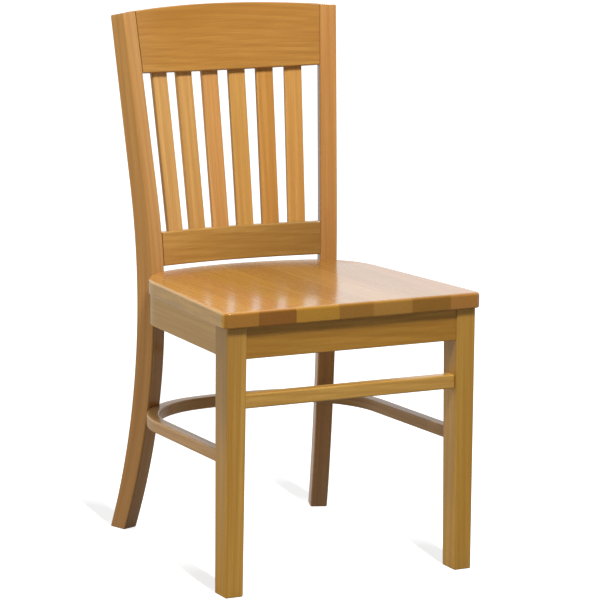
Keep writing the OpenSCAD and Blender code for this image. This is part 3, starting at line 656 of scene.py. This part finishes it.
def crown(x):
    return math.sqrt(CROWN_R ** 2 - x * x) - CROWN_R

crest = straight_board("crest_rail", (1.0, CREST_H, CREST_T), RAIL_EDGES)
bend(crest, rail_rule(TOP_R, BACK_H, RAKE, -CREST_H, crown, CREST_T, CREST_H))
finished(crest, "crest_rail", CREST_WOOD)
print("crest rail", round(CREST_H, 4), "m high")

# %% Lower back rail
SEAT_BACK_OVER, RAIL_GAP, RAIL_SHARE = 0.0095, 0.007, 0.134
SEAT_BACK_R = face_r(UNDER_H - REAR_SET * math.sin(TILT) + SEAT_T * math.cos(TILT)) + SEAT_BACK_OVER
RAIL_H, RAIL_T = RAIL_SHARE * (BACK_H - SEAT_H), 0.023
rail_z = tilted(0, AXIS_Y + SEAT_BACK_R, SEAT_T).z + RAIL_GAP + RAIL_H / 2
rail_lean = math.asin((rail_z - WAIST_H) / FRONT_SWEEP_R)
rail = straight_board("lower_back_rail", (1.0, RAIL_H, RAIL_T), RAIL_EDGES)
bend(rail, rail_rule(face_r(rail_z), rail_z, rail_lean, -RAIL_H / 2, lambda x: RAIL_H / 2, RAIL_T, RAIL_H))
finished(rail, "lower_back_rail", LOWER_RAIL_WOOD)
print("lower rail leans by", round(math.degrees(rail_lean), 1), "degrees")

# %% [markdown]
# ## Slats
# Six straight slats stand in slots in the two rails, a little behind the rails' faces. Each one is turned to
# face the back's axis. One slat could be copied by an array that turns, but six boards of their own have
# their own grain and tone, and each stays a piece of its own.

# %% Slats
SLATS, SLAT_W, SLAT_T, SLAT_SET, SLAT_IN = 6, 0.030, 0.0085, 0.0095, 0.006
SLAT_EDGES, SLAT_SPREAD_SHARE = (8, 0.0018, 0.0003), 0.95
slat_foot = (face_r(rail_z) + RAIL_H / 2 * math.sin(rail_lean), rail_z + RAIL_H / 2 * math.cos(rail_lean))
slat_head = (TOP_R - CREST_H * math.sin(RAKE), BACK_H - CREST_H * math.cos(RAKE))
slat_lean = math.atan2(slat_head[0] - slat_foot[0], slat_head[1] - slat_foot[1])
slat_length = math.hypot(slat_head[0] - slat_foot[0], slat_head[1] - slat_foot[1]) + 2 * SLAT_IN
slat_pitch = 2 * TURN_IN / (SLATS + 1) * SLAT_SPREAD_SHARE

def slat_rule(turn):
    def rule(along, across, depth):
        up, back = along + slat_length / 2 - SLAT_IN, SLAT_SET + SLAT_T / 2 + depth
        r = slat_foot[0] + up * math.sin(slat_lean) + back * math.cos(slat_lean)
        z = slat_foot[1] + up * math.cos(slat_lean) - back * math.sin(slat_lean)
        return round_back(turn, r, across, z)
    return rule

for i in range(SLATS):
    node = "slat_%d" % (i + 1)
    slat = straight_board(node, (slat_length, SLAT_W, SLAT_T), SLAT_EDGES)
    bend(slat, slat_rule((i - (SLATS - 1) / 2) * slat_pitch))
    finished(slat, node, SLAT_WOODS[i])
print("slats", round(slat_length, 3), "m long,", round(math.degrees(slat_pitch), 2), "degrees apart")

# %% [markdown]
# ## Seat
# The seat is a panel of seven staves glued edge to edge, with the grain from front to back. Each stave could
# be modelled by itself, but its rounded edge would have to meet the next one's at the glue line. So one
# panel is shaped first: the outline from spun arcs, then the thickness and the rounded edge. Planes cut it
# into staves, which one rule presses to a shallow hollow, and each has a tone and a grain of its own.

# %% Outline of the seat
SEAT_SIDE_OVER, SEAT_TAPER, SEAT_CORNER_R, SEAT_FRONT_R = 0.00825, math.radians(4.55), 0.112, 0.012
SEAT = (FRONT_W / 2 + SEAT_SIDE_OVER - SEAT_FRONT_OVER * math.tan(SEAT_TAPER), SEAT_TAPER, SEAT_CORNER_R)
FRONT_STEPS, CORNER_STEPS, BACK_STEPS, MERGE = 8, 20, 24, 1e-5

def arc(bm, centre, radius, start, end, steps):
    """Spins a point round a centre, and gives the two ends of its path."""
    first = bmesh.ops.create_vert(bm, co=(centre[0] + radius * math.cos(start),
                                          centre[1] + radius * math.sin(start), 0))["vert"]
    spun = bmesh.ops.spin(bm, geom=first, cent=(centre[0], centre[1], 0), axis=(0, 0, 1), angle=end - start,
                          steps=steps, use_merge=False, use_duplicate=False)
    return first[0], spun["geom_last"][0]

def seat_outline():
    bm = bmesh.new()
    cx, cy, meet, _, _ = bent_outline(*SEAT, SEAT_BACK_R)
    y = SEAT_FRONT_R - SEAT_FRONT_OVER
    x = SEAT[0] - y * math.tan(SEAT_TAPER) - SEAT_FRONT_R / math.cos(SEAT_TAPER)
    half, quarter = math.pi, math.pi / 2
    front_right = arc(bm, (x, y), SEAT_FRONT_R, -quarter, SEAT_TAPER, FRONT_STEPS)
    rear_right = arc(bm, (cx, cy), SEAT_CORNER_R, SEAT_TAPER, meet, CORNER_STEPS)
    arc(bm, (0, AXIS_Y), SEAT_BACK_R, meet, half - meet, BACK_STEPS)
    rear_left = arc(bm, (-cx, cy), SEAT_CORNER_R, half - meet, half - SEAT_TAPER, CORNER_STEPS)
    front_left = arc(bm, (-x, y), SEAT_FRONT_R, half - SEAT_TAPER, half + quarter, FRONT_STEPS)
    for one, other in ((front_right, rear_right), (rear_left, front_left), (front_left, front_right)):
        bm.edges.new((one[1], other[0]))
    bmesh.ops.remove_doubles(bm, verts=bm.verts, dist=MERGE)
    bmesh.ops.contextual_create(bm, geom=bm.edges[:])
    return bm

# %% Thickness and rounding
# Each edge has the radius of its rounding and a number of segments.
TOP_EDGE, LOW_EDGE = (0.0050, 5), (0.0025, 3)

def rim(bm, z):
    """The edges that lie at a height."""
    return [e for e in bm.edges if max(abs(v.co.z - z) for v in e.verts) < NEAR]

panel = seat_outline()
top = bmesh.ops.extrude_face_region(panel, geom=panel.faces[:])["geom"]
bmesh.ops.translate(panel, vec=(0, 0, SEAT_T), verts=[g for g in top if isinstance(g, bmesh.types.BMVert)])
bmesh.ops.recalc_face_normals(panel, faces=panel.faces)
round_edges(panel, rim(panel, SEAT_T), *TOP_EDGE)
round_edges(panel, rim(panel, 0), *LOW_EDGE)
print("seat panel", len(panel.faces), "faces")

# %% Glue lines, and cuts between them for the hollow
SEAT_W = FRONT_W + 2 * SEAT_SIDE_OVER
STAVE_SHARES = (0, 0.129, 0.271, 0.436, 0.568, 0.72, 0.873, 1)
ACROSS_STEP, ACROSS_CUTS, ALONG_STEP, ALONG_FROM, ALONG_CUTS = 0.018, 12, 0.017, 0.01, 24
glue_lines = [(share - 0.5) * SEAT_W for share in STAVE_SHARES[1:-1]]
for x in sorted(glue_lines + [ACROSS_STEP * i for i in range(-ACROSS_CUTS, ACROSS_CUTS + 1)]):
    cut_through(panel, (x, 0, 0), (1, 0, 0))
for i in range(ALONG_CUTS):
    cut_through(panel, (0, ALONG_FROM + ALONG_STEP * i, 0), (0, 1, 0))
print("seat panel", len(panel.faces), "faces after the cuts")

# %% [markdown]
# ## Staves
# On the seat's edge the staves show cut ends in front, which are dark, and long grain at the sides. The mesh
# tells them apart: end_grain_and_side_shade is above zero where a point looks forward or back, and below zero
# where it looks aside, where the sides take a tone of painted shade. The front corners are cut across the
# grain too, so only what looks nearly straight aside there is a side. Under the lower rail the lacquer is
# duller, because a hard one would mirror the bright gap under that rail as a white line, which the real seat
# doesn't show.

# %% What a stave stores
STAVE_STEP, DULL_REACH, CORNER_SIDE = (0.7, 0.31, 0.19), 0.06, 0.35
HOLLOW_DEPTH, HOLLOW_R, HOLLOW_Y = 0.0022, 0.165, 0.200

# Cut ends are marked above zero and the seat's sides below zero, where they take a tone of painted shade.
def mark_ends_and_shaded_sides(bm):
    bm.normal_update()
    end_grain_and_side_shade = bm.verts.layers.float.new("end_grain_and_side_shade")
    for v in bm.verts:
        side_share = CORNER_SIDE if v.normal.y < 0 else 1.0
        v[end_grain_and_side_shade] = math.copysign(v.normal.x ** 2 + v.normal.y ** 2,
                                     abs(v.normal.y) - side_share * abs(v.normal.x))

def store_stave_places(bm, i):
    place = bm.verts.layers.float_vector.new("board")
    dull = bm.verts.layers.float.new("dull")
    for v in bm.verts:
        v[place] = (v.co.y + STAVE_STEP[0] * i, v.co.x + STAVE_STEP[1] * i, v.co.z + STAVE_STEP[2] * i)
        v[dull] = max(0.0, 1 - (SEAT_BACK_R - math.hypot(v.co.x, v.co.y - AXIS_Y)) / DULL_REACH)

def press_hollow(bm):
    """Lowers the top by one round wave, and what lies under it by less."""
    for v in bm.verts:
        away = min(1.0, math.hypot(v.co.x, v.co.y - HOLLOW_Y) / HOLLOW_R)
        v.co.z -= HOLLOW_DEPTH * 0.5 * (1 + math.cos(math.pi * away)) * v.co.z / SEAT_T

# %% Tones of the staves, from left to right
# Each stave has a pale and a deep tone, and one for its cut end.
STAVE_TONES = (
    ((207, 152, 76), (184, 128, 54), (151, 102, 33)), ((198, 140, 70), (176, 118, 50), (125, 78, 19)),
    ((196, 146, 62), (176, 122, 44), (163, 118, 36)), ((184, 134, 60), (162, 110, 44), (139, 96, 33)),
    ((190, 142, 70), (168, 116, 50), (153, 110, 44)), ((180, 130, 60), (156, 106, 42), (131, 90, 28)),
    ((192, 136, 68), (166, 110, 48), (154, 106, 46)))
# Painted shade: the seat's sides take this tone of their own, for how the light falls on them.
SEAT_SIDE_SHADE = (183, 138, 52)
STAVE_WOODS = [lacquered_wood("stave_%d_wood" % (i + 1), pale, deep, roughness=0.28, coat=0.95,
                              coat_roughness=0.16, figure=0.7, end=end, side=SEAT_SIDE_SHADE, dull_coat=0.25)
               for i, (pale, deep, end) in enumerate(STAVE_TONES)]
print(len(STAVE_WOODS), "stave woods")

# %% Staves
def stave_between(left, right):
    """The part of the panel between two glue lines, or from one of them to the seat's own side."""
    stave = panel.copy()
    for x, keep in ((left, 1), (right, -1)):
        if x is not None:
            cut_through(stave, (x, 0, 0), (keep, 0, 0), clear_inner=True)
            bmesh.ops.holes_fill(stave, edges=[e for e in stave.edges if e.is_boundary], sides=0)
    return stave

mark_ends_and_shaded_sides(panel)
for i, (left, right) in enumerate(zip([None] + glue_lines, glue_lines + [None])):
    stave = stave_between(left, right)
    store_stave_places(stave, i)
    press_hollow(stave)
    bend(stave, tilted)
    finished(stave, "seat_stave_%d" % (i + 1), STAVE_WOODS[i])
panel.free()

# %% [markdown]
# ## Hidden parts
# Corner blocks, dowels and screws only show from below, if at all. Shaping them again would add nothing, so
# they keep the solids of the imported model, and get raw sanded wood and zinc-plated steel. These patterns read
# Object coordinates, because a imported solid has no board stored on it.

# %% Raw wood and zinc
RAW_STREAKS, RAW_FIBRES, CLOUD = (30.0, 160.0, 4.0), (120.0, 900.0, 2.0), (500.0, 500.0, 3.0)
RAW_LEVELS, RAW_FIBRE_DARK, RAW_BUMP = (0.3, 0.7), (0.5, 0.8, 0.0, 0.3), 0.25
RAW_ROUGHNESS, ZINC_ROUGHNESS = (0.6, 0.8), (0.22, 0.42)

def raw_wood(name, pale, deep, fibre=(120, 84, 50)):
    material, tree = new_material(name)
    place = add(tree, "TexCoord", {}).outputs["Object"]
    streaks, fibres = grain_noise(tree, place, *RAW_STREAKS), grain_noise(tree, place, *RAW_FIBRES)
    colour = mix_colour(tree, ramp(tree, streaks, *RAW_LEVELS), srgb(*deep), srgb(*pale))
    colour = mix_colour(tree, ramp(tree, fibres, *RAW_FIBRE_DARK), colour, srgb(*fibre))
    feed(tree, tree.nodes["Principled BSDF"], {
        "Base Color": colour, "Roughness": ramp(tree, fibres, *RAW_LEVELS, *RAW_ROUGHNESS),
        "Normal": raised(tree, fibres, RAW_BUMP)})
    return material

def zinc(name, dark, light):
    material, tree = new_material(name)
    place = add(tree, "TexCoord", {}).outputs["Object"]
    cloud = grain_noise(tree, place, *CLOUD)
    feed(tree, tree.nodes["Principled BSDF"], {
        "Base Color": mix_colour(tree, ramp(tree, cloud, *RAW_LEVELS), srgb(*dark), srgb(*light)),
        "Roughness": ramp(tree, cloud, *RAW_LEVELS, *ZINC_ROUGHNESS), "Metallic": 1.0})
    return material

# %% Finishes of the hidden parts
for material, hidden in (
        (raw_wood("block_wood", (206, 172, 124), (178, 140, 94)),
         ("corner_block_left", "corner_block_right")),
        (raw_wood("dowel_wood", (220, 190, 144), (196, 160, 114)), ("apron_dowels", "hoop_dowels")),
        (zinc("screw_steel", (176, 178, 176), (206, 204, 192)), ("leg_screws", "seat_screws"))):
    for node in hidden:
        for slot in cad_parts[node].material_slots:
            slot.material = material
    print(material.name, "on", ", ".join(hidden))

# %% [markdown]
# ## Floor
# The chair stands on a white floor, and only near its feet are there faint shadows, which a lamp of their own
# throws away from the camera. A plain white floor would turn grey all round the chair. So this one also
# glows, for the camera alone: away from the feet it clips to white, and near them it glows a little less, so
# that the shadow stays visible. To reflections it glows behind the chair and stays dark in front. From below
# it is clear, so that the underside can be looked at.

# %% Floor
FLOOR_HALF_W, FLOOR_CUTS = 12.0, 2
sheet = bmesh.new()
bmesh.ops.create_grid(sheet, x_segments=FLOOR_CUTS, y_segments=FLOOR_CUTS, size=FLOOR_HALF_W)
mesh = bpy.data.meshes.new("floor")
sheet.to_mesh(mesh)
sheet.free()
floor = bpy.data.objects.new("floor", mesh)
scene.collection.objects.link(floor)
print("floor", 2 * FLOOR_HALF_W, "m wide")

# %% Shadows of the feet
FRONT_FOOT_X, FRONT_FOOT_Y = 0.2, 0.02
SHADOW_NARROWER, SHADOW_X, SHADOW_Y = 2.2, 0.009, 0.085
FEET = (tilted(-FRONT_FOOT_X, FRONT_FOOT_Y, -LEG_L), tilted(FRONT_FOOT_X, FRONT_FOOT_Y, -LEG_L),
        round_back(-TURN_IN, rear_r(0), 0, 0), round_back(TURN_IN, rear_r(0), 0, 0))

def nearest_shadow(tree, place):
    """Distance to the middle of the nearest foot's shadow, counted higher across than along it."""
    squeezed, nearest = stretched(tree, place, (SHADOW_NARROWER, 1.0, 1.0)), None
    for foot in FEET:
        middle = (SHADOW_NARROWER * (foot.x + SHADOW_X), foot.y + SHADOW_Y, 0.0)
        away = add(tree, "VectorMath", {0: squeezed, 1: middle}, operation="DISTANCE").outputs["Value"]
        if nearest:
            away = add(tree, "Math", {0: nearest, 1: away}, operation="MINIMUM").outputs[0]
        nearest = away
    return nearest

def behind_chair(tree, place):
    """How far a place lies behind the middle, along the camera's level line of sight."""
    way = (math.sin(VIEW_TURN), math.cos(VIEW_TURN), 0.0)
    return add(tree, "VectorMath", {0: place, 1: way}, operation="DOT_PRODUCT").outputs["Value"]

# %% White floor
# The three greys are for the camera, for reflections and for all other light. Each glow goes from one
# distance to another, and from one strength to another.
SEEN_GREY, MIRRORED_GREY = (0.38, 0.38, 0.383, 1.0), (0.06, 0.06, 0.06, 1.0)
PLAIN_GREY = (0.24, 0.24, 0.242, 1.0)
SEEN_GLOW, MIRRORED_GLOW = (0.05, 0.16, 0.71, 1.0), (-0.3, 0.3, 0.0, 0.45)

def product(tree, first, second):
    return add(tree, "Math", {0: first, 1: second}, operation="MULTIPLY").outputs[0]

white, tree = new_material("white_floor")
tree.nodes.clear()
rays = add(tree, "LightPath", {})
place = add(tree, "TexCoord", {}).outputs["Object"]
grey = mix_colour(tree, rays.outputs["Is Glossy Ray"], PLAIN_GREY, MIRRORED_GREY)
grey = mix_colour(tree, rays.outputs["Is Camera Ray"], grey, SEEN_GREY)
seen = ramp(tree, nearest_shadow(tree, place), *SEEN_GLOW)
mirrored = ramp(tree, behind_chair(tree, place), *MIRRORED_GLOW)
strength = add(tree, "Math", {0: product(tree, rays.outputs["Is Camera Ray"], seen),
                              1: product(tree, rays.outputs["Is Glossy Ray"], mirrored)}).outputs[0]
glow = add(tree, "Emission", {"Strength": strength})
above = add(tree, "AddShader", {0: add(tree, "BsdfDiffuse", {"Color": grey}).outputs[0], 1: glow.outputs[0]})
clear = add(tree, "BsdfTransparent", {})
from_below = add(tree, "NewGeometry", {}).outputs["Backfacing"]
surface = add(tree, "MixShader", {0: from_below, 1: above.outputs[0], 2: clear.outputs[0]})
add(tree, "OutputMaterial", {"Surface": surface.outputs[0]})
mesh.materials.append(white)
print("white floor of", len(tree.nodes), "nodes")

# %% [markdown]
# ## Backdrop and light
# The world is white where the camera looks at it. Its mirror image in the lacquer is white behind the chair
# and dark on the camera's side, as in a studio with one white wall, and this keeps the faces that look at the
# camera deep in colour. Its plain light comes from the same side, and is softer. A key lamp from high in
# front and a fill from the left shape the wood and leave the floor out, and the floor lamp lights nothing but
# the floor. One lamp for both would make either the shadows too strong or the wood too flat.

# %% World
MIRRORED_SKY, PLAIN_SKY = (-0.25, 0.30, 0.06, 1.0), (-0.5, 0.5, 0.22, 0.75)

def either(tree, switch, on, off):
    return add(tree, "Mix", {0: switch, 2: off, 3: on}).outputs[0]

world = bpy.data.worlds.new("studio")
scene.world = world
world.use_nodes = True
tree = world.node_tree
rays = add(tree, "LightPath", {})
behind = behind_chair(tree, add(tree, "TexCoord", {}).outputs["Generated"])
mirrored, plain = [ramp(tree, behind, *sky, interpolation_type="SMOOTHSTEP")
                   for sky in (MIRRORED_SKY, PLAIN_SKY)]
strength = either(tree, rays.outputs["Is Glossy Ray"], mirrored, plain)
strength = either(tree, rays.outputs["Is Camera Ray"], 1.0, strength)
feed(tree, tree.nodes["Background"], {"Color": WHITE, "Strength": strength})
scene.view_settings.view_transform = "Standard"
print("world of", len(tree.nodes), "nodes")

# %% Lamps
LIT_POINT = Vector((0, 0, 0.4))

def lamp(name, turn, rise, far, size, watts):
    """turn is measured from straight in front of the chair towards its left, as the camera sees it."""
    turn, rise = math.radians(turn), math.radians(rise)
    way = Vector((-math.sin(turn) * math.cos(rise), -math.cos(turn) * math.cos(rise), math.sin(rise)))
    light = bpy.data.objects.new(name, bpy.data.lights.new(name, "AREA"))
    light.data.shape = "DISK"
    light.data.size = size
    light.data.energy = watts
    light.location = LIT_POINT + far * way
    light.rotation_euler = way.to_track_quat("Z", "Y").to_euler()
    scene.collection.objects.link(light)
    print(name, watts, "W at", [round(v, 2) for v in light.location])
    return light

key = lamp("key", turn=10, rise=59, far=2.6, size=0.6, watts=75)
fill = lamp("fill", turn=102, rise=3, far=4.0, size=1.4, watts=60)
fill.visible_glossy = False
floor_lamp = lamp("floor_lamp", turn=6, rise=16, far=6.0, size=0.45, watts=984)

# %% What each lamp lights
floor_only = bpy.data.collections.new("floor_only")
floor_only.objects.link(floor)
all_but_floor = bpy.data.collections.new("all_but_floor")
all_but_floor.objects.link(floor)
all_but_floor.collection_objects[0].light_linking.link_state = "EXCLUDE"
for light, lit in ((key, all_but_floor), (fill, all_but_floor), (floor_lamp, floor_only)):
    light.light_linking.receiver_collection = lit
    print(light.name, "lights", lit.name)
